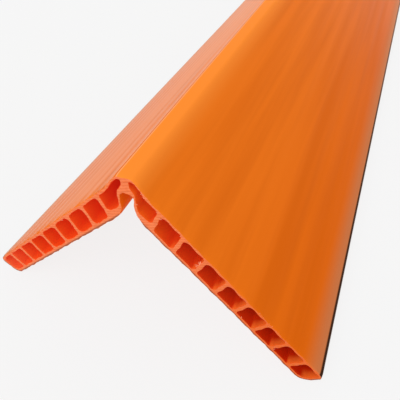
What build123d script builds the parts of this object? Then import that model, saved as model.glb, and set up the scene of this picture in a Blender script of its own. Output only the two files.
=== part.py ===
from build123d import *
from math import cos, radians, sin, tan
import os

# Plastic edge protector: one extruded length of hollow corner profile, laid over a load's edge under a strap.
# X runs across the section, Y along the length and Z up, in millimetres. The protector stands like a roof on
# the round tips of its legs, and the origin is the middle of the floor below it.

# Overall
length = 800.0
leg_width = 190.0  # outer corner to tip, along the outer face
leg_thickness = 20.0
corner_angle = 90.0  # between the two legs

# Walls
outer_skin = 2.3
inner_skin = 3.3
rib_thickness = 2.8
tip_wall = 3.0
tip_outer_radius = 4.5
tip_inner_radius = 8.0

# Ribs and cells of one leg
rib_count = 8
first_rib = 33.6  # outer corner to the middle of the first rib, along the leg
tip_cell_width = 14.4
first_rib_lean = 25.0  # degrees from square, with the outer end nearer the corner
cell_radius = 2.5

# Crown: the flat band on the outer corner, and the swell that runs out into each outer face
crown_width = 8.0
crown_drop = 2.5  # below the sharp corner that the outer faces would make
crown_clear = 4.7  # between the end of the swell and the first rib's near face, along the outer skin
crown_shoulder = 3.5
crown_run_out = 9.2

# Corner web and relief slot
web_thickness = 4.9
web_height = 12.0  # crown to the roof of the slot
web_radius = 3.0
web_straight = 3.9  # below the crown's skin, where the web starts to widen into the slot's two walls
web_flare_end = 1.2  # above the slot's roof, where it has reached their width
slot_width = 7.8
slot_wall = 1.9
slot_roof_radius = 3.0
slot_mouth_radius = 20.0

# Corner cell
corner_cell_floor = 6.0  # wall between the corner cell and the inner face
corner_cell_belly = 5.0  # radius beside the slot
corner_cell_top_flat = 0.35  # left level between the cell's top corner and the crown's shoulder

half_angle = radians(corner_angle / 2)
outward = (sin(half_angle), -cos(half_angle))  # down the leg, from the corner to the tip
inward = (-cos(half_angle), -sin(half_angle))  # through the leg, from the outer face to the inner one


def leg_point(along, depth):
    """A point of the right leg's section: along the outer face from the sharp corner, and below that face."""
    return (along * outward[0] + depth * inward[0], along * outward[1] + depth * inward[1])


def leg_point_under(x, depth):
    """The point at this X on the line that runs down the leg at this depth."""
    along = (x - depth * inward[0]) / outward[0]
    return leg_point(along, depth)


cell_floor = leg_thickness - inner_skin
mid_depth = (outer_skin + cell_floor) / 2
last_rib = leg_width - tip_wall - tip_cell_width - rib_thickness / 2
rib_pitch = (last_rib - first_rib) / (rib_count - 1)


def rib_side(number, depth, side):
    """How far along the leg a rib's face lies at a depth: side -1 faces the corner, +1 the tip.

    The lean fades evenly from the first rib to the last, which stands square.
    """
    lean = radians(first_rib_lean) * (1 - number / (rib_count - 1))
    middle = first_rib + number * rib_pitch + tan(lean) * (depth - mid_depth)
    return middle + side * rib_thickness / 2 / cos(lean)


crown_reach = rib_side(0, outer_skin, -1) - crown_clear  # from the sharp corner, along the outer face


def crown_curve(depth):
    """The crown's shoulder and its swell, down to where it meets the leg, at a depth below the outside."""
    start = (crown_width / 2, -crown_drop - depth)
    return Bezier(
        start,
        (start[0] + crown_shoulder, start[1]),
        leg_point(crown_reach - crown_run_out, depth),
        leg_point(crown_reach, depth),
    )


def outline():
    """The solid section of both legs, before the cells are cut: crown, outer face, tip, inner face, slot."""
    slot_side = slot_width / 2
    slot_roof = -crown_drop - web_height
    with BuildSketch() as section:
        with BuildLine():
            Line((0, -crown_drop), (crown_width / 2, -crown_drop))
            crown_curve(0)
            FilletPolyline(
                leg_point(crown_reach, 0),
                leg_point(leg_width, 0),
                leg_point(leg_width, leg_thickness),
                leg_point_under(slot_side, leg_thickness),
                (slot_side, slot_roof),
                (0, slot_roof),
                radius=[tip_outer_radius, tip_inner_radius, slot_mouth_radius, slot_roof_radius],
            )
            Line((0, slot_roof), (0, -crown_drop))
        make_face()
        mirror(about=Plane.YZ)
    return section.sketch


def corner_cell():
    """The first cell, between the corner web, the slot's wall and the first rib."""
    web_side = web_thickness / 2
    wall_side = slot_width / 2 + slot_wall
    top = -crown_drop - outer_skin
    slot_roof = -crown_drop - web_height
    floor = leg_thickness - corner_cell_floor
    with BuildSketch() as cell:
        with BuildLine():
            crown_curve(outer_skin)
            FilletPolyline(
                (crown_width / 2, top),
                (web_side, top),
                (web_side, top - web_straight),
                (wall_side, slot_roof + web_flare_end),
                leg_point_under(wall_side, floor),
                leg_point(rib_side(0, floor, -1), floor),
                leg_point(rib_side(0, outer_skin, -1), outer_skin),
                leg_point(crown_reach, outer_skin),
                radius=[
                    crown_width / 2 - web_side - corner_cell_top_flat,
                    web_radius,
                    web_radius,
                    corner_cell_belly,
                    cell_radius,
                    cell_radius,
                ],
            )
        make_face()
    return cell.sketch


def leg_cell(number):
    """The cell on the tip side of a rib. The last one ends at the tip wall and follows its round corner."""
    near_top = rib_side(number, outer_skin, 1)
    near_floor = rib_side(number, cell_floor, 1)
    far_top = far_floor = leg_width - tip_wall
    far_floor_radius = tip_inner_radius - tip_wall
    if number < rib_count - 1:
        far_top = rib_side(number + 1, outer_skin, -1)
        far_floor = rib_side(number + 1, cell_floor, -1)
        far_floor_radius = cell_radius
    with BuildSketch() as cell:
        with BuildLine():
            FilletPolyline(
                leg_point(near_top, outer_skin),
                leg_point(far_top, outer_skin),
                leg_point(far_floor, cell_floor),
                leg_point(near_floor, cell_floor),
                radius=[cell_radius, cell_radius, far_floor_radius, cell_radius],
                close=True,
            )
        make_face()
    return cell.sketch


def edge_profile():
    """The whole protector: the hollow section, extruded both ways from the middle of the length."""
    cells = [corner_cell()] + [leg_cell(number) for number in range(rib_count)]
    section = outline()
    for cell in cells:
        section = section - cell - mirror(cell, about=Plane.YZ)
    # The lowest point of each round tip stands on the floor
    tip_centre = leg_point(leg_width - tip_inner_radius, leg_thickness - tip_inner_radius)
    stand_height = tip_inner_radius - tip_centre[1]
    across = Plane(origin=(0, 0, stand_height), x_dir=(1, 0, 0), z_dir=(0, -1, 0))
    return extrude(across * section, amount=length / 2, both=True)


os.makedirs("parts", exist_ok=True)
protector = edge_profile()
protector.label = "edge_profile"
export_step(protector, "parts/edge_profile.step")
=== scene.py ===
import bpy
import numpy as np
from bpy.props import FloatProperty, FloatVectorProperty, IntProperty, PointerProperty
from mathutils import Matrix, Quaternion, Vector
from mathutils.geometry import delaunay_2d_cdt


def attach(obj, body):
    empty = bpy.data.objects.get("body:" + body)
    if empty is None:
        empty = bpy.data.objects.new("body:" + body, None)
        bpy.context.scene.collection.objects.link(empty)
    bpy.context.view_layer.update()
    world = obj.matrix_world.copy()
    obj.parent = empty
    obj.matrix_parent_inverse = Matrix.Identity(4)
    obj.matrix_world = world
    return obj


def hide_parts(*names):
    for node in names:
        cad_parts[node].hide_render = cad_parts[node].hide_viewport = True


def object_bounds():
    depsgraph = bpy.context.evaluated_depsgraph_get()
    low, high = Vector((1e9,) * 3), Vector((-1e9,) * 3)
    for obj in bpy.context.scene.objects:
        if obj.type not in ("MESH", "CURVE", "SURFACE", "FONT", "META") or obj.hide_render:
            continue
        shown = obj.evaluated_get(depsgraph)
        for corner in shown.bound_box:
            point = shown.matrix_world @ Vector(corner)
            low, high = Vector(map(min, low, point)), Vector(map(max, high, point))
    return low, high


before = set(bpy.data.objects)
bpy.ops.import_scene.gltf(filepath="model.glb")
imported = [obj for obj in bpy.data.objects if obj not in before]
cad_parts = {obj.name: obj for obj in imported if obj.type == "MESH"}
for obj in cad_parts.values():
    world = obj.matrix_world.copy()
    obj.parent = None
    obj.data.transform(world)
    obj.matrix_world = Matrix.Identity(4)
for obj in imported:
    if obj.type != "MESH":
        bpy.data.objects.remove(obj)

bl_info = {
    "name": "Hollow Edge Protector",
    "version": (1, 0, 0),
    "blender": (4, 5, 0),
    "location": "View3D > Sidebar > Edge Protector",
    "description": "Builds an extruded plastic edge protector with hollow legs, its saw burrs and a studio",
    "category": "Object",
}

CAD_NODE = "edge_profile"
CAD_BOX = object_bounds()
SKIN, SAWN, CELL, UNDERSIDE = range(4)  # material numbers of the profile


def length(name, description, default):
    """A size in metres."""
    return FloatProperty(name=name, description=description, default=default, min=0.0, unit="LENGTH", precision=4)


def colour(name, description, default):
    """A colour given as the linear values of its picture colour."""
    return FloatVectorProperty(name=name, description=description, subtype="COLOR", size=3, min=0.0, max=1.0,
                               default=tuple(linear(np.array(default) / 255)))


def linear(picture):
    """Picture values to linear light: the lower part divided by 12.92, the rest (v + 0.055) / 1.055 to the 2.4."""
    return np.where(picture <= 0.04045, picture / 12.92, ((picture + 0.055) / 1.055) ** 2.4).tolist()


class ProfileSizes(bpy.types.PropertyGroup):
    """The section of the protector, as the solid has it, and the small shape that extrusion and sawing leave."""

    run: length("Length", "From cut end to cut end", CAD_BOX[1].y - CAD_BOX[0].y)
    leg_width: length("Leg width", "Sharp outer corner to tip, along the outer face", 0.190)
    leg_thickness: length("Leg thickness", "Outer face to inner face", 0.020)
    corner_angle: FloatProperty(name="Corner angle", description="Between the two legs", default=np.radians(90),
                                subtype="ANGLE")
    outer_skin: length("Outer skin", "Wall over the cells", 0.0023)
    inner_skin: length("Inner skin", "Wall under the cells", 0.0033)
    rib_thickness: length("Rib thickness", "Wall between two cells", 0.0028)
    tip_wall: length("Tip wall", "Wall that closes the last cell", 0.0030)
    tip_outer_radius: length("Tip outer radius", "Round edge from outer face to tip", 0.0045)
    tip_inner_radius: length("Tip inner radius", "Round edge from tip to inner face", 0.0080)
    rib_count: IntProperty(name="Ribs", description="Ribs in one leg", default=8, min=2)
    first_rib: length("First rib", "Sharp corner to the middle of the first rib", 0.0336)
    tip_cell_width: length("Tip cell width", "Last rib to tip wall", 0.0144)
    first_rib_lean: FloatProperty(name="First rib lean", description="From square, fading to none at the last rib",
                                  default=np.radians(25), subtype="ANGLE")
    cell_radius: length("Cell radius", "Rounded corners of the cells", 0.0025)
    crown_width: length("Crown width", "Flat band on the outer corner", 0.0080)
    crown_drop: length("Crown drop", "Sharp corner to the flat band", 0.0025)
    crown_clear: length("Crown clearance", "End of the swell to the first rib", 0.0047)
    crown_shoulder: length("Crown shoulder", "How far the flat band's direction holds in the swell", 0.0035)
    crown_run_out: length("Crown run-out", "How far the outer face's direction holds in the swell", 0.0092)
    web_thickness: length("Web thickness", "Solid web under the crown", 0.0049)
    web_height: length("Web height", "Crown to the roof of the relief slot", 0.0120)
    web_radius: length("Web radius", "Rounding where the web widens", 0.0030)
    web_straight: length("Web straight", "Below the crown's skin, where the web starts to widen", 0.0039)
    web_flare_end: length("Web flare end", "Above the slot's roof, where the widening ends", 0.0012)
    slot_width: length("Slot width", "Relief slot", 0.0078)
    slot_wall: length("Slot wall", "Wall beside the relief slot", 0.0019)
    slot_roof_radius: length("Slot roof radius", "Rounded roof of the slot", 0.0030)
    slot_mouth_radius: length("Slot mouth radius", "Rounding from slot to inner face", 0.0200)
    corner_cell_floor: length("Corner cell floor", "Wall under the corner cell", 0.0060)
    corner_cell_belly: length("Corner cell belly", "Rounding beside the slot", 0.0050)
    corner_cell_top_flat: length("Corner cell flat", "Level part at the corner cell's top", 0.00035)
    sink: length("Sink marks", "How far the skin draws in over a rib", 0.00022)
    sink_width: length("Sink width", "Half width of a sink mark", 0.0042)
    cut_edge: length("Cut edge", "Softened edge of a sawn end", 0.00018)
    cut_wave: length("Saw wave", "How far a sawn end wanders from flat", 0.0005)
    cut_tear: length("Saw tear", "How raggedly the saw breaks the edges of a sawn end", 0.0008)
    tear_reach: length("Tear reach", "How far in from a sawn end the tears fade out", 0.0030)
    burr_count: IntProperty(name="Burrs", description="Slivers left round the near end's edges", default=46, min=0)
    burr_seed: IntProperty(name="Burr chance", description="Another number places the burrs elsewhere", default=11)
    burr_length: length("Burr length", "The longest ordinary sliver", 0.0014)
    burr_cluster: length("Swarf length", "The longest sliver where swarf has gathered", 0.0032)


class Finish(bpy.types.PropertyGroup):
    """Colours of the plastic, as they show in even light."""

    skin: colour("Skin", "Outer faces", (240, 119, 26))
    skin_streak: colour("Skin streaks", "Darker extrusion streaks", (200, 84, 2))
    # Painted shade: the outer faces darken towards the tips, where less light falls
    skin_low_shade: colour("Low skin", "Outer faces towards the tips", (226, 103, 12))
    haze: colour("Haze", "Milky sheen of the skin, seen along its face", (255, 210, 184))
    # Painted highlight: a lighter band along the crown, for the light from above and the glow through the thicker
    # plastic there
    ridge_highlight: colour("Ridge", "Band along the crown, where more plastic glows", (252, 140, 48))
    # Painted highlight: a thin pale line at the crown's left edge
    lip_highlight: colour("Lip", "Thin pale line where the crown's band meets the left skin", (255, 180, 128))
    # Painted shade with a painted sheen: duller, pinker skin over the tip wall
    tip: colour("Tip", "Scuffed skin over the tip wall", (202, 118, 70))
    # Painted shade: a dark line along the round edge of a tip and the lower rim of a cut, where shade falls
    edge_shade: colour("Rubbed edge", "Dirt rubbed into the round edge of a tip and the lower rim of a cut", (54, 28, 14))
    drawn_line: colour("Drawn lines", "Fine dark lines that the die drew in the left skin", (192, 88, 40))
    sawn: colour("Sawn end", "Rough cut through the walls", (240, 128, 78))
    sawn_low: colour("Low sawn end", "Rough cut towards the right tip", (226, 100, 14))
    sawn_groove: colour("Saw grooves", "Fine grooves in the cut", (219, 98, 44))
    burr: colour("Burrs", "Thin slivers, which the light shines through", (250, 160, 118))
    cell: colour("Cell", "Walls of the cells", (231, 84, 20))
    # Painted shade: the cell walls darken towards the right tip
    cell_shaded: colour("Deep cell", "Walls of the cells towards the right tip", (204, 40, 1))
    cell_mouth: colour("Cell mouth", "Ribs of the right cells by the cut, where daylight reaches", (244, 108, 36))
    cell_tip: colour("Tip cell", "Walls of the last cells of the left leg", (236, 112, 66))
    cell_corner: colour("Corner cell", "Wall of the right corner cell that the slot's light soaks through",
                        (232, 102, 18))
    glow: colour("Glow", "Light that soaks through the skin into the cells", (212, 49, 36))
    shade_glow: colour("Shade glow", "Light that soaks through the legs to the underside", (232, 88, 12))
    pale: FloatProperty(name="Background", description="Grey of the floor and background", default=0.92, min=0.0,
                        max=1.0, subtype="FACTOR")


class Studio(bpy.types.PropertyGroup):
    """The camera's place and the lights."""

    camera_place: FloatVectorProperty(name="Camera place", description="Where the camera stands", size=3,
                                      default=(0.10466, -0.54731, 0.29406), subtype="TRANSLATION", unit="LENGTH")
    camera_turn: FloatVectorProperty(name="Camera turn", description="The camera's turn as a quaternion", size=4,
                                     default=(0.901725, 0.386579, 0.075197, 0.178306), subtype="QUATERNION")
    lens: FloatProperty(name="Lens", description="Focal length on a 36 mm wide picture", default=38.94,
                        unit="CAMERA")
    sky: FloatProperty(name="Sky", description="Strength of the even light all round", default=0.79, min=0.0)
    sun: FloatProperty(name="Sun", description="Strength of the soft light from the front left", default=1.2,
                       min=0.0)


def leg_point(s, along, depth):
    """A point of the right leg: along times the leg's direction plus depth times the direction through it."""
    half = s.corner_angle / 2
    outward = np.array([np.sin(half), -np.cos(half)])
    inward = np.array([-np.cos(half), -np.sin(half)])
    return along * outward + depth * inward


def leg_place(s, section):
    """Where section points lie on either leg: distance along it from the sharp corner, and depth below its face."""
    half = s.corner_angle / 2
    side = np.abs(section[:, 0])
    along = side * np.sin(half) - section[:, 1] * np.cos(half)
    depth = -side * np.cos(half) - section[:, 1] * np.sin(half)
    return along, depth


def leg_point_under(s, x, depth):
    """The point at x on the line that runs down the leg at this depth."""
    half = s.corner_angle / 2
    return leg_point(s, (x + depth * np.cos(half)) / np.sin(half), depth)


def rib_middle(s, number, depth):
    """Distance of a rib's middle along the leg: even pitch, plus the lean's tangent times the depth from the middle."""
    last_rib = s.leg_width - s.tip_wall - s.tip_cell_width - s.rib_thickness / 2
    pitch = (last_rib - s.first_rib) / (s.rib_count - 1)
    lean = s.first_rib_lean * (1 - number / (s.rib_count - 1))
    mid_depth = (s.outer_skin + s.leg_thickness - s.inner_skin) / 2
    return s.first_rib + number * pitch + np.tan(lean) * (depth - mid_depth)


def rib_side(s, number, depth, side):
    """A rib's face: its middle plus half the rib's thickness over the cosine of its lean, towards that side."""
    lean = s.first_rib_lean * (1 - number / (s.rib_count - 1))
    return rib_middle(s, number, depth) + side * s.rib_thickness / 2 / np.cos(lean)


def crown_curve(s, depth, steps=17):
    """Shoulder and swell of the crown: a cubic curve from the flat band's edge to the outer face.

    Its four control points weigh (1-t)^3, 3t(1-t)^2, 3t^2(1-t) and t^3.
    """
    reach = rib_side(s, 0, s.outer_skin, -1) - s.crown_clear
    start = np.array([s.crown_width / 2, -s.crown_drop - depth])
    control = np.array([
        start,
        start + (s.crown_shoulder, 0),
        leg_point(s, reach - s.crown_run_out, depth),
        leg_point(s, reach, depth),
    ])
    t = np.linspace(0, 1, steps)[:, None]
    weights = np.hstack([(1 - t) ** 3, 3 * t * (1 - t) ** 2, 3 * t**2 * (1 - t), t**3])
    return weights @ control


def rounded(points, radii, steps=7):
    """An open path with its inner corners rounded.

    An arc's centre lies on its corner's bisector, radius / sin(half the corner's angle) away. The arc's points are the
    two touching radii mixed by sin((1-t) turn) and sin(t turn) over sin(turn).
    """
    points = np.array(points, float)
    radii = np.array(radii, float)[:, None]
    corner = points[1:-1]
    back = points[:-2] - corner
    ahead = points[2:] - corner
    back /= np.linalg.norm(back, axis=1, keepdims=True)
    ahead /= np.linalg.norm(ahead, axis=1, keepdims=True)
    half = np.arccos((back * ahead).sum(1, keepdims=True)) / 2
    bisector = (back + ahead) / (2 * np.cos(half))
    centre = corner + bisector * radii / np.sin(half)
    first = corner + back * radii / np.tan(half) - centre
    last = corner + ahead * radii / np.tan(half) - centre
    turn = (np.pi - 2 * half)[:, None]
    t = np.linspace(0, 1, steps)[None, :, None]
    arcs = centre[:, None] + (np.sin((1 - t) * turn) * first[:, None] + np.sin(t * turn) * last[:, None]) / np.sin(turn)
    return np.vstack([points[:1], arcs.reshape(-1, 2), points[-1:]])


def rounded_loop(corners, radii):
    """A closed polygon with every corner rounded, as the open path from its last corner round to its first."""
    closed = np.vstack([corners[-1:], corners, corners[:1]])
    return rounded(closed, radii)[1:-1]


def outline(s):
    """The protector's outside: crown, outer face, tip, inner face and slot on the right, then mirrored back."""
    slot_side = s.slot_width / 2
    slot_roof = -s.crown_drop - s.web_height
    reach = crown_curve(s, 0)[-1]
    leg = rounded(
        [
            reach,
            leg_point(s, s.leg_width, 0),
            leg_point(s, s.leg_width, s.leg_thickness),
            leg_point_under(s, slot_side, s.leg_thickness),
            (slot_side, slot_roof),
            (0, slot_roof),
        ],
        [s.tip_outer_radius, s.tip_inner_radius, s.slot_mouth_radius, s.slot_roof_radius],
        steps=9,
    )
    right = np.vstack([crown_curve(s, 0), leg])
    left = right[::-1] * (-1, 1)
    return np.vstack([right, left])


def corner_cell(s):
    """The cell beside the web: under the crown's curve, down the web and the slot's wall, back up the first rib."""
    web_side = s.web_thickness / 2
    wall_side = s.slot_width / 2 + s.slot_wall
    top = -s.crown_drop - s.outer_skin
    slot_roof = -s.crown_drop - s.web_height
    floor = s.leg_thickness - s.corner_cell_floor
    crown = crown_curve(s, s.outer_skin)
    path = rounded(
        [
            crown[0],
            (web_side, top),
            (web_side, top - s.web_straight),
            (wall_side, slot_roof + s.web_flare_end),
            leg_point_under(s, wall_side, floor),
            leg_point(s, rib_side(s, 0, floor, -1), floor),
            leg_point(s, rib_side(s, 0, s.outer_skin, -1), s.outer_skin),
            crown[-1],
        ],
        [
            s.crown_width / 2 - web_side - s.corner_cell_top_flat,
            s.web_radius,
            s.web_radius,
            s.corner_cell_belly,
            s.cell_radius,
            s.cell_radius,
        ],
    )
    return np.vstack([path, crown[::-1]])


def leg_cell(s, number):
    """The cell on the tip side of a rib, a rounded four-sided loop. The last one ends at the tip wall."""
    floor = s.leg_thickness - s.inner_skin
    last = number == s.rib_count - 1
    tip_side = s.leg_width - s.tip_wall
    corners = np.array([
        leg_point(s, rib_side(s, number, s.outer_skin, 1), s.outer_skin),
        leg_point(s, tip_side if last else rib_side(s, number + 1, s.outer_skin, -1), s.outer_skin),
        leg_point(s, tip_side if last else rib_side(s, number + 1, floor, -1), floor),
        leg_point(s, rib_side(s, number, floor, 1), floor),
    ])
    far_floor = s.tip_inner_radius - s.tip_wall if last else s.cell_radius
    return rounded_loop(corners, [s.cell_radius, s.cell_radius, far_floor, s.cell_radius])


def tidy_loop(loop, spacing, void):
    """A loop without repeated points, split evenly where points lie more than the spacing apart.

    It runs anticlockwise round plastic and clockwise round a void, by the sign of half the sum of x1 y2 - x2 y1.
    """
    loop = loop[np.linalg.norm(loop - np.roll(loop, 1, 0), axis=1) > 1e-7]
    ahead = np.roll(loop, -1, 0)
    area = (loop[:, 0] * ahead[:, 1] - ahead[:, 0] * loop[:, 1]).sum() / 2
    if (area > 0) == void:
        loop = loop[::-1]
    step = np.roll(loop, -1, 0) - loop
    pieces = np.ceil(np.linalg.norm(step, axis=1) / spacing).astype(int)
    start = np.repeat(loop, pieces, axis=0)
    step = np.repeat(step / pieces[:, None], pieces, axis=0)
    index = np.arange(len(start)) - np.repeat(np.cumsum(pieces) - pieces, pieces)
    return start + step * index[:, None]


def away(loop):
    """Unit directions out of the plastic: the two neighbours' difference turned a right angle to the right."""
    along = np.roll(loop, -1, 0) - np.roll(loop, 1, 0)
    normal = np.column_stack([along[:, 1], -along[:, 0]])
    return normal / np.linalg.norm(normal, axis=1, keepdims=True)


def section_loops(s):
    """The outline and all cells in the section's plane, the sharp corner at the top, the plastic on their left."""
    cells = [corner_cell(s)] + [leg_cell(s, number) for number in range(s.rib_count)]
    cells += [cell * (-1, 1) for cell in cells]
    return [tidy_loop(outline(s), 0.0013, void=False)] + [tidy_loop(cell, 0.0017, void=True) for cell in cells]


def stand_height(s):
    """Height of the sharp corner when the round tips touch the floor."""
    centre = leg_point(s, s.leg_width - s.tip_inner_radius, s.leg_thickness - s.tip_inner_radius)
    return s.tip_inner_radius - centre[1]


def stations(s, spacing):
    """Places along the length, with how far the cut edge draws in there and how much of the saw's tears shows.

    On the edge's quarter round the place is edge (1 - sin a) from the end and the draw-in edge (1 - cos a).
    """
    angle = np.radians([90, 45, 0])
    near = -s.run / 2 + np.append(s.cut_edge * (1 - np.sin(angle)), [s.tear_reach / 2, s.tear_reach])
    draw = np.append(s.cut_edge * (1 - np.cos(angle)), [0, 0])
    tear = np.array([1, 1, 1, 0.4, 0])
    count = int(np.ceil(s.run / spacing))
    middle = np.linspace(near[-1], -near[-1], count)[1:-1]
    even = np.zeros(count - 2)
    place = np.concatenate([near, middle, -near[::-1]])
    return place, np.concatenate([draw, even, draw[::-1]]), np.concatenate([tear, even, tear[::-1]])


def sink_marks(s, loop, place):
    """How far the outer skin draws in: a bell over every rib, varied by slow waves along the length.

    Each bell is sink exp(-(distance / sink_width)^2). It fades out away from the outer face by its own depth.
    """
    along, depth = leg_place(s, loop)
    ribs = rib_middle(s, np.arange(s.rib_count), s.outer_skin)
    ribs = np.append(ribs, s.leg_width - s.tip_wall / 2)
    bells = np.exp(-(((along[:, None] - ribs) / s.sink_width) ** 2)).sum(1) * (depth < s.outer_skin)
    sway = 0.8 + 0.2 * np.sin(23 * place[:, None] + 40 * along) * np.cos(9 * place[:, None] + 2)
    ripple = 0.25 * (1 + np.sin(31 * along * 12 + 3 * np.sin(5 * place[:, None]))) * (depth < s.outer_skin)
    return s.sink * (bells * sway + ripple)


def saw_wander(s, section):
    """How far a sawn end lies in from flat: two crossing slow waves over the section, from none to the full wander."""
    x, z = section[..., 0], section[..., 1]
    return s.cut_wave * (0.5 + 0.3 * np.sin(70 * x + 25 * z) + 0.2 * np.sin(160 * z - 50 * x + 1.0))


def saw_tears(s, loop, void):
    """How far the saw breaks the edge back at each point: three waves of the distance round the loop.

    Each runs round a whole number of times. Outside they only take away, while in a cell they also leave lips.
    """
    around = np.cumsum(np.linalg.norm(loop - np.roll(loop, 1, 0), axis=1))
    waves = np.round(around[-1] / np.array([0.0150, 0.0085, 0.0045]))
    share = np.array([0.5, 0.35, 0.15])
    start = loop[0].sum() * 900 + np.array([0, 2, 4])
    tear = np.sin(2 * np.pi * around[:, None] / around[-1] * waves + start) @ share
    return s.cut_tear / 2 * (tear + (0 if void else 1))


def sweep(s, loop, spacing, void):
    """A loop carried along the length: at each place every point moves in by the cut edge, its tears and sink marks."""
    place, draw, tear = stations(s, spacing)
    inset = draw[:, None] + tear[:, None] * saw_tears(s, loop, void) + (0 if void else sink_marks(s, loop, place))
    section = loop - away(loop) * inset[..., None]
    end = np.clip((np.abs(place) - s.run / 2 + 0.02) / 0.02, 0, 1)[:, None]
    y = place[:, None] - np.sign(place)[:, None] * saw_wander(s, section) * end
    return np.stack([section[..., 0], y, section[..., 1] + stand_height(s)], axis=-1)


def tubes_along(s, loops):
    """The outline and the cells carried along the length, the outline in finer steps."""
    return [sweep(s, loops[0], 0.0125, void=False)] + [sweep(s, loop, 0.030, void=True) for loop in loops[1:]]


def tube_faces(rows, columns, first):
    """Quads of a grid that closes on itself sideways, its corners numbered from first, facing out of the plastic."""
    row = np.arange(rows - 1)[:, None] * columns
    here = np.arange(columns)
    ahead = np.roll(here, -1)
    quads = np.stack([row + here, row + columns + here, row + columns + ahead, row + ahead], axis=-1)
    return quads.reshape(-1, 4) + first


def inside_plastic(points, loops):
    """True where a ray to the right from a point crosses the loops' edges an odd number of times."""
    start = np.vstack(loops)
    end = np.vstack([np.roll(loop, -1, 0) for loop in loops])
    x, z = points[:, 0, None], points[:, 1, None]
    spans = (start[:, 1] > z) != (end[:, 1] > z)
    rise = np.where(end[:, 1] == start[:, 1], 1.0, end[:, 1] - start[:, 1])
    crossing = start[:, 0] + (z - start[:, 1]) * (end[:, 0] - start[:, 0]) / rise
    return (spans & (crossing > x)).sum(1) % 2 == 1


def end_triangles(loops):
    """Triangles that fill the plastic between the loops, numbered through all the loops' points in order."""
    points = np.vstack(loops)
    sizes = np.array([len(loop) for loop in loops])
    first = np.repeat(np.cumsum(sizes) - sizes, sizes)
    place = np.arange(len(points)) - first
    ahead = first + (place + 1) % np.repeat(sizes, sizes)
    edges = np.column_stack([np.arange(len(points)), ahead])
    cut = delaunay_2d_cdt([Vector(p) for p in points], edges.tolist(), [], 0, 1e-9)
    triangles = np.array(cut[2])
    return triangles[inside_plastic(points[triangles].mean(1), loops)]


def add_mesh(name, vertices, faces, material_index, materials):
    """A smooth mesh object at the origin from arrays of points and same-sized faces."""
    mesh = bpy.data.meshes.new(name)
    mesh.from_pydata(vertices, [], [face for group in faces for face in group.tolist()])
    mesh.validate()
    for material in materials:
        mesh.materials.append(material)
    mesh.polygons.foreach_set("material_index", material_index.astype(np.int32))
    mesh.shade_smooth()
    piece = bpy.data.objects.new(name, mesh)
    bpy.context.scene.collection.objects.link(piece)
    return piece


def hollow_profile(s):
    """Points, faces and material numbers of the whole protector."""
    loops = section_loops(s)
    tubes = tubes_along(s, loops)
    sizes = [tube.shape[0] * tube.shape[1] for tube in tubes]
    first = np.cumsum([0] + sizes)
    walls = [tube_faces(tube.shape[0], tube.shape[1], start) for tube, start in zip(tubes, first)]
    near = np.concatenate([start + np.arange(tube.shape[1]) for tube, start in zip(tubes, first)])
    far = np.concatenate([stop - tube.shape[1] + np.arange(tube.shape[1]) for tube, stop in zip(tubes, first[1:])])
    ends = end_triangles([tube[0][:, [0, 2]] for tube in tubes])
    faces = walls + [near[ends], far[ends[:, ::-1]]]
    material = [SKIN] + [CELL] * (len(tubes) - 1) + [SAWN, SAWN]
    material_index = np.repeat(material, [len(group) for group in faces])
    along, depth = leg_place(s, loops[0])
    under = (depth > s.outer_skin) & (along < s.leg_width - s.tip_inner_radius / 2) & (away(loops[0])[:, 1] < 0.1)
    material_index[: len(walls[0])] = np.where(np.tile(under, len(walls[0]) // len(under)), UNDERSIDE, SKIN)
    return np.vstack([tube.reshape(-1, 3) for tube in tubes]), faces, material_index


def slivers(roots, reach, droop, radius, steps=10, sides=6):
    """Slivers of plastic, one for each root: rings carried along root + t reach + t^2 droop.

    The rings' radius falls as (1 - t)^0.7, and each ring is cos a times one side vector plus sin a times the other.
    """
    t = np.linspace(0, 1, steps)[None, :, None]
    spine = roots[:, None] + t * reach[:, None] + t**2 * droop[:, None]
    ahead = np.gradient(spine, axis=1)
    side = np.cross(ahead, (0.3, 1.0, 0.2))
    side /= np.linalg.norm(side, axis=2, keepdims=True)
    up = np.cross(side, ahead)
    up /= np.linalg.norm(up, axis=2, keepdims=True)
    angle = np.linspace(0, 2 * np.pi, sides, endpoint=False)[:, None]
    ring = np.cos(angle) * side[:, :, None] + np.sin(angle) * up[:, :, None]
    width = radius[:, None, None] * np.maximum(1 - t, 0.02) ** 0.7
    return spine[:, :, None] + ring * width[..., None]


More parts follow.
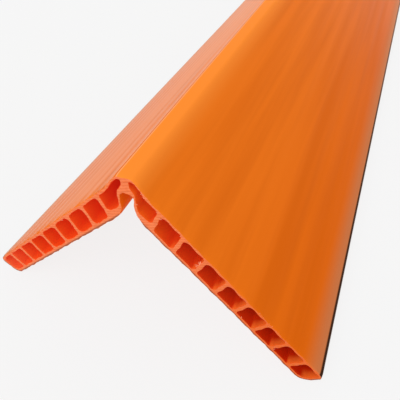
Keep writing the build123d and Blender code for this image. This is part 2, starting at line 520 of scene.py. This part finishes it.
def saw_burrs(s):
    """Points and faces of the slivers that the saw left round the cells and edges of the near end.

    Most roots are drawn by chance from the edges' points. The rest gather at three places, scattered by a bell.
    Each root lies on the torn wall, in the row where the cut's softened edge ends. A sliver that would reach below
    the floor or past the end is left out.
    """
    edge_end = 2
    chance = np.random.default_rng(s.burr_seed)
    loops = section_loops(s)
    edge = np.vstack(loops)
    out = np.vstack([away(loop) for loop in loops])
    wall = np.vstack([tube[edge_end] for tube in tubes_along(s, loops)])
    gathered = np.array([
        leg_point(s, rib_middle(s, 2, 0) - s.rib_thickness / 2, s.leg_thickness / 2),
        leg_point(s, 0.0162, s.outer_skin),
        leg_point(s, rib_middle(s, 2, 0) + 0.006, s.outer_skin) * (-1, 1),
    ])
    centre = np.repeat(gathered, (9, 3, 2), axis=0)
    centre = centre + chance.normal(0, 0.0022, centre.shape)
    nearest = np.linalg.norm(edge[None] - centre[:, None], axis=2).argmin(1)
    picked = np.concatenate([chance.choice(len(edge), s.burr_count, replace=False), nearest])
    longest = np.repeat([s.burr_length, s.burr_cluster], [s.burr_count, len(nearest)])
    longest = np.where(picked < len(loops[0]), longest / 2, longest)
    long = longest * chance.uniform(0.4, 1.0, len(picked))
    turn = chance.normal(0, 0.8, len(picked))[:, None]
    normal = out[picked]
    across = np.column_stack([-normal[:, 1], normal[:, 0]])
    lean = (np.cos(turn) * normal + np.sin(turn) * across) * long[:, None]
    reach = np.column_stack([lean[:, 0], chance.uniform(0.0, 0.5, len(picked)) * long, lean[:, 1]])
    droop = chance.normal(0, 0.4, reach.shape) * long[:, None] * (1, 0.3, 1)
    rings = slivers(wall[picked] - 0.15 * reach, reach, droop, chance.uniform(0.00016, 0.00034, len(picked)))
    rings = rings[(rings[..., 2].min((1, 2)) > 0) & (rings[..., 1].min((1, 2)) > -s.run / 2)]
    steps, sides = rings.shape[1:3]
    first = np.arange(len(rings))[:, None, None] * steps * sides
    walls = tube_faces(steps, sides, 0) + first
    ends = np.stack([np.arange(sides), (steps - 1) * sides + np.arange(sides)[::-1]]) + first
    return rings.reshape(-1, 3), [walls.reshape(-1, 4), ends.reshape(-1, sides)]


class Nodes:
    """Lays out the nodes of one material or group, and links them by name."""

    def __init__(self, tree):
        self.tree = tree

    def add(self, kind, at, inputs=(), **settings):
        """A node of this kind with its settings made and its inputs linked or filled, in the order given."""
        node = self.tree.nodes.new(kind)
        node.location = at
        for key, value in settings.items():
            setattr(node, key, value)
        for key, value in dict(inputs).items():
            if isinstance(value, bpy.types.NodeSocket):
                self.tree.links.new(value, node.inputs[key])
            else:
                node.inputs[key].default_value = value
        return node

    def math(self, operation, at, first, second=0.0, third=0.0):
        """The result of one sum on numbers or sockets."""
        node = self.add("ShaderNodeMath", at, {0: first, 1: second, 2: third}, operation=operation)
        return node.outputs[0]

    def mix(self, at, share, first, second):
        """Two colours mixed by a share."""
        node = self.add("ShaderNodeMix", at, {"Factor": share}, data_type="RGBA")
        for key, value in ((6, first), (7, second)):
            if isinstance(value, bpy.types.NodeSocket):
                self.tree.links.new(value, node.inputs[key])
            else:
                node.inputs[key].default_value = (*value, 1)
        return node.outputs[2]

    def ramp(self, at, value, low, high):
        """0 below low, 1 above high, smooth between."""
        node = self.add("ShaderNodeMapRange", at, {"Value": value, "From Min": low, "From Max": high},
                        interpolation_type="SMOOTHSTEP")
        return node.outputs["Result"]


def leg_coordinates_group(s):
    """Node group: distance along a leg and depth below its face, and the place across and along the whole protector."""
    tree = bpy.data.node_groups.new("Leg coordinates", "ShaderNodeTree")
    tree.interface.new_socket("Along", in_out="OUTPUT", socket_type="NodeSocketFloat")
    tree.interface.new_socket("Depth", in_out="OUTPUT", socket_type="NodeSocketFloat")
    tree.interface.new_socket("Side", in_out="OUTPUT", socket_type="NodeSocketFloat")
    tree.interface.new_socket("Run", in_out="OUTPUT", socket_type="NodeSocketFloat")
    nodes = Nodes(tree)
    place = nodes.add("ShaderNodeTexCoord", (-800, 0))
    axes = nodes.add("ShaderNodeSeparateXYZ", (-600, 0), {0: place.outputs["Object"]})
    half = s.corner_angle / 2
    side = nodes.math("ABSOLUTE", (-400, 100), axes.outputs["X"])
    fall = nodes.math("SUBTRACT", (-400, -100), stand_height(s), axes.outputs["Z"])
    across = nodes.math("MULTIPLY", (-200, 100), side, np.sin(half))
    along = nodes.math("MULTIPLY_ADD", (0, 0), fall, np.cos(half), across)
    back = nodes.math("MULTIPLY", (-200, -100), side, -np.cos(half))
    depth = nodes.math("MULTIPLY_ADD", (0, -100), fall, np.sin(half), back)
    out = nodes.add("NodeGroupOutput", (200, 0))
    tree.links.new(along, out.inputs["Along"])
    tree.links.new(depth, out.inputs["Depth"])
    tree.links.new(axes.outputs["X"], out.inputs["Side"])
    tree.links.new(axes.outputs["Y"], out.inputs["Run"])
    return tree


def streaks_group(leg_coordinates):
    """Node group: long soft streaks that an extruder's die leaves, finer or broader by the scale given."""
    tree = bpy.data.node_groups.new("Extrusion streaks", "ShaderNodeTree")
    tree.interface.new_socket("Scale", in_out="INPUT", socket_type="NodeSocketFloat")
    tree.interface.new_socket("Wander", in_out="INPUT", socket_type="NodeSocketFloat")
    tree.interface.new_socket("Low", in_out="INPUT", socket_type="NodeSocketFloat")
    tree.interface.new_socket("High", in_out="INPUT", socket_type="NodeSocketFloat")
    tree.interface.new_socket("Streak", in_out="OUTPUT", socket_type="NodeSocketFloat")
    nodes = Nodes(tree)
    given = nodes.add("NodeGroupInput", (-800, -200))
    leg = nodes.add("ShaderNodeGroup", (-800, 0), node_tree=leg_coordinates)
    run = nodes.math("MULTIPLY", (-600, -100), leg.outputs["Run"], given.outputs["Wander"])
    side = nodes.math("SIGN", (-600, 100), leg.outputs["Side"])
    stretched = nodes.add("ShaderNodeCombineXYZ", (-400, 0), {"X": leg.outputs["Along"], "Y": run, "Z": side})
    noise = nodes.add("ShaderNodeTexNoise", (-200, 0),
                      {"Vector": stretched.outputs[0], "Scale": given.outputs["Scale"], "Detail": 3.0})
    spread = nodes.add("ShaderNodeMapRange", (0, 0),
                       {"Value": noise.outputs["Fac"], "From Min": given.outputs["Low"],
                        "From Max": given.outputs["High"]},
                       interpolation_type="SMOOTHSTEP")
    out = nodes.add("NodeGroupOutput", (200, 0))
    tree.links.new(spread.outputs["Result"], out.inputs["Streak"])
    return tree


def new_material(name, roughness, specular):
    """A material of one Principled shader, with its nodes ready to build on."""
    material = bpy.data.materials.new(name)
    material.use_nodes = True
    material.node_tree.nodes.clear()
    nodes = Nodes(material.node_tree)
    shader = nodes.add("ShaderNodeBsdfPrincipled", (600, 0), {"Roughness": roughness, "Specular IOR Level": specular})
    out = nodes.add("ShaderNodeOutputMaterial", (900, 0))
    material.node_tree.links.new(shader.outputs[0], out.inputs["Surface"])
    return material, nodes, shader


def skin_material(s, finish, leg_coordinates, streaks):
    """Satin extruded skin: soft streaks, milky along its face, a painted highlight along the crown, and painted shade
    towards the tips and along their round edges.

    Fine drawn lines lie on the left leg by the crown, and a thin pale painted highlight between them and the crown's
    band.
    """
    material, nodes, shader = new_material("Satin skin", 0.42, 0.006)
    leg = nodes.add("ShaderNodeGroup", (-1000, 300), node_tree=leg_coordinates)
    broad = nodes.add("ShaderNodeGroup", (-800, 0),
                      {"Scale": 55.0, "Wander": 0.04, "Low": 0.3, "High": 0.7}, node_tree=streaks)
    # Painted shade: the skin darkens towards the tips
    low = nodes.ramp((-800, -150), leg.outputs["Along"], s.leg_width * 0.2, s.leg_width * 0.95)
    even = nodes.mix((-700, 100), low, finish.skin, finish.skin_low_shade)
    left = nodes.ramp((-1000, -200), leg.outputs["Side"], -s.crown_width, -s.crown_width * 1.5)
    strength = nodes.math("MULTIPLY_ADD", (-800, -300), left, -0.28, 0.4)
    share = nodes.math("MULTIPLY", (-700, 0), broad.outputs[0], strength)
    skin = nodes.mix((-600, 0), share, even, finish.skin_streak)
    shader.inputs["Sheen Weight"].default_value = 1.0
    shader.inputs["Sheen Roughness"].default_value = 0.21
    shader.inputs["Sheen Tint"].default_value = (*finish.haze, 1)

    grain = nodes.add("ShaderNodeGroup", (-1000, -400),
                      {"Scale": 85.0, "Wander": 0.05, "Low": 0.475, "High": 0.525}, node_tree=streaks)
    rest = nodes.math("SUBTRACT", (-800, -500), 1.0, grain.outputs[0])
    line = nodes.math("MULTIPLY", (-600, -400), nodes.math("MULTIPLY", (-700, -400), grain.outputs[0], rest), 4.0)
    by_crown = nodes.ramp((-600, -800), leg.outputs["Side"], -s.leg_width * 0.3, -s.leg_width * 0.06)
    fine = nodes.math("MULTIPLY", (-500, -500), line, by_crown)
    drawn = nodes.math("MULTIPLY", (-400, -400), fine, left)
    lined = nodes.mix((-200, 0), nodes.math("MULTIPLY", (-300, -250), drawn, 0.6), skin, finish.drawn_line)

    # Painted highlight along the crown, crisp on the left and soft on the right
    crisp = nodes.ramp((-600, 400), leg.outputs["Side"], -s.crown_width * 0.66, -s.crown_width * 0.5)
    soft = nodes.ramp((-600, 600), leg.outputs["Side"], s.crown_width * 1.85, s.crown_width * 0.5)
    band = nodes.math("MULTIPLY", (-400, 500), crisp, soft)
    highlighted = nodes.mix((0, 0), band, lined, finish.ridge_highlight)
    # Painted highlight: a thin pale line at the crisp left edge of the crown's band
    rest = nodes.math("SUBTRACT", (-400, 300), 1.0, crisp)
    lip_highlight = nodes.math("MULTIPLY", (-200, 300), nodes.math("MULTIPLY", (-300, 300), crisp, rest), 3.0)
    highlighted = nodes.mix((100, 100), lip_highlight, highlighted, finish.lip_highlight)
    # Painted shade with a painted sheen over the tip wall
    tip = nodes.ramp((-200, 500), leg.outputs["Along"], s.leg_width - 0.026, s.leg_width - 0.005)
    tip_shaded = nodes.mix((200, 0), tip, highlighted, finish.tip)
    # Painted shade: a thin dark line on the tip's round edge
    edge_shade_start = nodes.ramp((-200, 700), leg.outputs["Along"], s.leg_width - 0.0066, s.leg_width - 0.0050)
    edge_shade_end = nodes.ramp((-200, 900), leg.outputs["Along"], s.leg_width - 0.0002, s.leg_width - 0.0008)
    edge_shade = nodes.math("MULTIPLY", (0, 800), edge_shade_start, edge_shade_end)
    nodes.tree.links.new(nodes.mix((400, 200), edge_shade, tip_shaded, finish.edge_shade), shader.inputs["Base Color"])
    height = nodes.add("ShaderNodeBump", (400, -300), {"Strength": 0.1, "Distance": -0.0003, "Height": drawn})
    nodes.tree.links.new(height.outputs[0], shader.inputs["Normal"])
    return material


def underside_material(finish, streaks):
    """Satin skin of the inner faces and the slot, lit a little by what soaks through the legs."""
    material, nodes, shader = new_material("Satin underside", 0.5, 0.02)
    broad = nodes.add("ShaderNodeGroup", (-600, 0),
                      {"Scale": 60.0, "Wander": 0.03, "Low": 0.36, "High": 0.64}, node_tree=streaks)
    skin = nodes.mix((-200, 0), broad.outputs[0], finish.skin, finish.skin_streak)
    nodes.tree.links.new(skin, shader.inputs["Base Color"])
    shader.inputs["Emission Color"].default_value = (*finish.shade_glow, 1)
    shader.inputs["Emission Strength"].default_value = 0.2
    return material


def sawn_material(s, finish, leg_coordinates):
    """Sawn plastic: matt, with fine grooves, a mottle of melted and torn patches, and a painted dark line of shade
    along the inner rim.

    The rim is measured from the middle of the tip's round inner corner: the root of past squared plus below squared.
    """
    material, nodes, shader = new_material("Sawn plastic", 0.55, 0.15)
    place = nodes.add("ShaderNodeTexCoord", (-800, 0))
    turned = nodes.add("ShaderNodeMapping", (-600, 0),
                       {"Vector": place.outputs["Object"], "Rotation": (0, 0.35, 0)})
    grooves = nodes.add("ShaderNodeTexWave", (-400, 100),
                        {"Vector": turned.outputs[0], "Scale": 150.0, "Distortion": 2.5, "Detail": 2.0,
                         "Detail Scale": 1.5}, bands_direction="Z")
    mottle = nodes.add("ShaderNodeTexNoise", (-400, -200),
                       {"Vector": place.outputs["Object"], "Scale": 320.0, "Detail": 4.0})
    patch = nodes.ramp((-200, -200), mottle.outputs["Fac"], 0.35, 0.75)
    groove = nodes.math("MULTIPLY", (-200, 100), grooves.outputs["Fac"], 0.5)
    share = nodes.math("MULTIPLY_ADD", (0, 0), patch, 0.4, groove)
    leg = nodes.add("ShaderNodeGroup", (-200, 400), node_tree=leg_coordinates)
    past = nodes.math("SUBTRACT", (-400, 500), leg.outputs["Along"], s.leg_width - s.tip_inner_radius)
    below = nodes.math("SUBTRACT", (-400, 300), leg.outputs["Depth"], s.leg_thickness - s.tip_inner_radius)
    past = nodes.math("POWER", (-100, 500), nodes.math("MAXIMUM", (-200, 500), past, 0.0), 2.0)
    below = nodes.math("POWER", (-100, 300), nodes.math("MAXIMUM", (-200, 300), below, 0.0), 2.0)
    reach = nodes.math("SQRT", (100, 400), nodes.math("ADD", (0, 400), past, below))
    # Painted shade: a dark line along the lower inner rim, round the tip's inner corner
    rim = nodes.ramp((200, 400), reach, s.tip_inner_radius - 0.0022, s.tip_inner_radius - 0.0010)
    low = nodes.ramp((-200, -400), leg.outputs["Side"], 0.0, s.leg_width * 0.6)
    plain = nodes.mix((0, -200), low, finish.sawn, finish.sawn_low)
    cut = nodes.mix((200, 0), share, plain, finish.sawn_groove)
    nodes.tree.links.new(nodes.mix((400, 0), nodes.math("MULTIPLY", (200, 400), rim, 0.6), cut, finish.edge_shade),
                         shader.inputs["Base Color"])
    height = nodes.add("ShaderNodeBump", (400, -300), {"Strength": 0.5, "Distance": 0.0005, "Height": share})
    nodes.tree.links.new(height.outputs[0], shader.inputs["Normal"])
    return material


def cell_material(s, finish, leg_coordinates):
    """Inside of a cell: glowing red with light that soaks in, its ribs lit by day at the mouth where they face it.

    The walls and the glow grow dimmer towards the right tip, and the last cells of the left leg are paler. Light from
    the slot brightens the right corner cell.
    """
    material, nodes, shader = new_material("Cell wall", 0.45, 0.04)
    leg = nodes.add("ShaderNodeGroup", (-1200, 300), node_tree=leg_coordinates)
    # Painted shade: walls and glow dim towards the right tip
    dim = nodes.ramp((-600, 300), leg.outputs["Side"], -0.04, 0.12)
    wall = nodes.mix((-400, 200), dim, finish.cell, finish.cell_shaded)
    last = nodes.ramp((-600, 500), leg.outputs["Side"], -s.leg_width * 0.45, -s.leg_width * 0.75)
    wall = nodes.mix((-300, 300), last, wall, finish.cell_tip)

    place = nodes.add("ShaderNodeTexCoord", (-1200, -200))
    normal = nodes.add("ShaderNodeSeparateXYZ", (-1000, -200), {0: place.outputs["Normal"]})
    right = nodes.ramp((-800, 150), leg.outputs["Side"], -0.03, 0.06)
    run = nodes.math("ABSOLUTE", (-1000, 0), leg.outputs["Run"])
    mouth = nodes.ramp((-800, 0), run, s.run / 2 - 0.0075, s.run / 2 - 0.0020)
    tilt = nodes.math("SUBTRACT", (-800, -150), normal.outputs["Z"], normal.outputs["X"])
    towards = nodes.ramp((-600, -150), tilt, 0.5, 1.2)
    share = nodes.math("MULTIPLY", (-400, 0), nodes.math("MULTIPLY", (-600, 0), mouth, right), towards)
    lit = nodes.mix((-200, 0), share, wall, finish.cell_mouth)

    beyond_web = nodes.ramp((-800, -400), leg.outputs["Side"], 0.0, s.web_thickness)
    before_rib = nodes.ramp((-800, -600), leg.outputs["Side"], s.first_rib * 0.75, s.first_rib * 0.35)
    outward = nodes.ramp((-800, -800), normal.outputs["X"], 0.0, 0.8)
    corner = nodes.math("MULTIPLY", (-600, -500), nodes.math("MULTIPLY", (-700, -500), beyond_web, before_rib), outward)
    soaked = nodes.mix((0, 0), corner, lit, finish.cell_corner)
    nodes.tree.links.new(soaked, shader.inputs["Base Color"])
    glow = nodes.mix((200, 200), dim, finish.glow, tuple(0.05 * c for c in finish.glow))
    nodes.tree.links.new(glow, shader.inputs["Emission Color"])
    shader.inputs["Emission Strength"].default_value = 0.18
    return material


def burr_material(finish):
    """Slivers so thin that the light shines through them."""
    material, nodes, shader = new_material("Thin plastic", 0.5, 0.2)
    shader.inputs["Base Color"].default_value = (*finish.burr, 1)
    return material


def floor_material(pale):
    """Pale floor that shows nearly as the background to the camera, and keeps a faint shadow of the object."""
    material, nodes, shader = new_material("Pale floor", 0.9, 0.3)
    shader.inputs["Base Color"].default_value = (pale, pale, pale, 1)
    path = nodes.add("ShaderNodeLightPath", (200, 400))
    seen = nodes.math("MAXIMUM", (400, 400), path.outputs["Is Camera Ray"], path.outputs["Is Glossy Ray"])
    share = nodes.math("MULTIPLY", (600, 400), seen, 0.92)
    white = nodes.add("ShaderNodeEmission", (600, 200), {"Color": (pale, pale, pale, 1)})
    out = nodes.tree.nodes["Material Output"]
    mixed = nodes.add("ShaderNodeMixShader", (800, 200), {0: share, 1: shader.outputs[0], 2: white.outputs[0]})
    nodes.tree.links.new(mixed.outputs[0], out.inputs["Surface"])
    return material


class PROTECTOR_OT_profile(bpy.types.Operator):
    """Build the hollow extruded profile with its sink marks and sawn ends"""

    bl_idname = "protector.profile"
    bl_label = "Build Profile"

    def execute(self, context):
        sizes = context.scene.protector_sizes
        finish = context.scene.protector_finish
        leg_coordinates = leg_coordinates_group(sizes)
        streaks = streaks_group(leg_coordinates)
        materials = [
            skin_material(sizes, finish, leg_coordinates, streaks),
            sawn_material(sizes, finish, leg_coordinates),
            cell_material(sizes, finish, leg_coordinates),
            underside_material(finish, streaks),
        ]
        points, faces, material_index = hollow_profile(sizes)
        piece = add_mesh("hollow_profile", points, faces, material_index, materials)
        # A cut is shaded flat, so that its edges stay crisp
        piece.data.polygons.foreach_set("use_smooth", material_index != SAWN)
        piece.data.set_sharp_from_angle(angle=np.radians(40))
        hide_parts(CAD_NODE)
        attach(piece, "root")
        return {"FINISHED"}


class PROTECTOR_OT_burrs(bpy.types.Operator):
    """Add the slivers that the saw left on the near end"""

    bl_idname = "protector.burrs"
    bl_label = "Add Saw Burrs"

    def execute(self, context):
        points, faces = saw_burrs(context.scene.protector_sizes)
        material_index = np.zeros(sum(len(group) for group in faces))
        material = burr_material(context.scene.protector_finish)
        piece = add_mesh("saw_burrs", points, faces, material_index, [material])
        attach(piece, "root")
        return {"FINISHED"}


class PROTECTOR_OT_stage(bpy.types.Operator):
    """Set up the pale floor, the even light and the camera"""

    bl_idname = "protector.stage"
    bl_label = "Set Up Stage"

    def execute(self, context):
        scene = context.scene
        studio = scene.protector_studio
        pale = scene.protector_finish.pale
        scene.view_settings.view_transform = "Standard"

        world = bpy.data.worlds.new("Pale room")
        world.use_nodes = True
        world.node_tree.nodes.clear()
        nodes = Nodes(world.node_tree)
        path = nodes.add("ShaderNodeLightPath", (-600, 0))
        seen = nodes.math("MAXIMUM", (-400, 0), path.outputs["Is Camera Ray"], path.outputs["Is Glossy Ray"])
        seen = nodes.math("MAXIMUM", (-200, 0), seen, path.outputs["Is Transmission Ray"])
        even = nodes.add("ShaderNodeBackground", (0, 100), {"Color": (1, 1, 1, 1), "Strength": studio.sky})
        shown = nodes.add("ShaderNodeBackground", (0, -100), {"Color": (1, 1, 1, 1), "Strength": pale})
        choice = nodes.add("ShaderNodeMixShader", (200, 0), {0: seen, 1: even.outputs[0], 2: shown.outputs[0]})
        nodes.add("ShaderNodeOutputWorld", (400, 0), {"Surface": choice.outputs[0]})
        scene.world = world

        floor = bpy.data.meshes.new("floor")
        reach = 8.0
        floor.from_pydata([(-reach, -reach, 0), (reach, -reach, 0), (reach, reach, 0), (-reach, reach, 0)], [],
                          [(0, 1, 2, 3)])
        floor.materials.append(floor_material(pale))
        ground = bpy.data.objects.new("floor", floor)
        scene.collection.objects.link(ground)

        lamp = bpy.data.lights.new("soft_sun", "SUN")
        lamp.energy = studio.sun
        lamp.angle = np.radians(50)
        sun = bpy.data.objects.new("soft_sun", lamp)
        sun.matrix_world = Vector((-0.25, -0.9, 0.85)).to_track_quat("Z", "Y").to_matrix().to_4x4()
        scene.collection.objects.link(sun)

        camera = bpy.data.objects.new("camera", bpy.data.cameras.new("camera"))
        camera.data.lens = studio.lens
        camera.data.sensor_width = 36.0
        camera.data.clip_start = 0.01
        camera.matrix_world = Matrix.Translation(studio.camera_place) @ (
            Quaternion(studio.camera_turn).to_matrix().to_4x4())
        scene.collection.objects.link(camera)
        scene.camera = camera
        return {"FINISHED"}


class PROTECTOR_PT_panel(bpy.types.Panel):
    """Sizes, colours and the steps that build the protector"""

    bl_label = "Edge Protector"
    bl_idname = "PROTECTOR_PT_panel"
    bl_space_type = "VIEW_3D"
    bl_region_type = "UI"
    bl_category = "Edge Protector"

    def draw(self, context):
        scene = context.scene
        for group in (scene.protector_sizes, scene.protector_finish, scene.protector_studio):
            box = self.layout.box()
            for name in group.__annotations__:
                box.prop(group, name)
        self.layout.operator("protector.profile")
        self.layout.operator("protector.burrs")
        self.layout.operator("protector.stage")


CLASSES = (ProfileSizes, Finish, Studio, PROTECTOR_OT_profile, PROTECTOR_OT_burrs, PROTECTOR_OT_stage,
           PROTECTOR_PT_panel)


def register():
    for cls in CLASSES:
        bpy.utils.register_class(cls)
    bpy.types.Scene.protector_sizes = PointerProperty(type=ProfileSizes)
    bpy.types.Scene.protector_finish = PointerProperty(type=Finish)
    bpy.types.Scene.protector_studio = PointerProperty(type=Studio)


def unregister():
    del bpy.types.Scene.protector_studio
    del bpy.types.Scene.protector_finish
    del bpy.types.Scene.protector_sizes
    for cls in reversed(CLASSES):
        bpy.utils.unregister_class(cls)


def main():
    register()
    bpy.ops.protector.profile()
    bpy.ops.protector.burrs()
    bpy.ops.protector.stage()


if __name__ == "__main__":
    main()
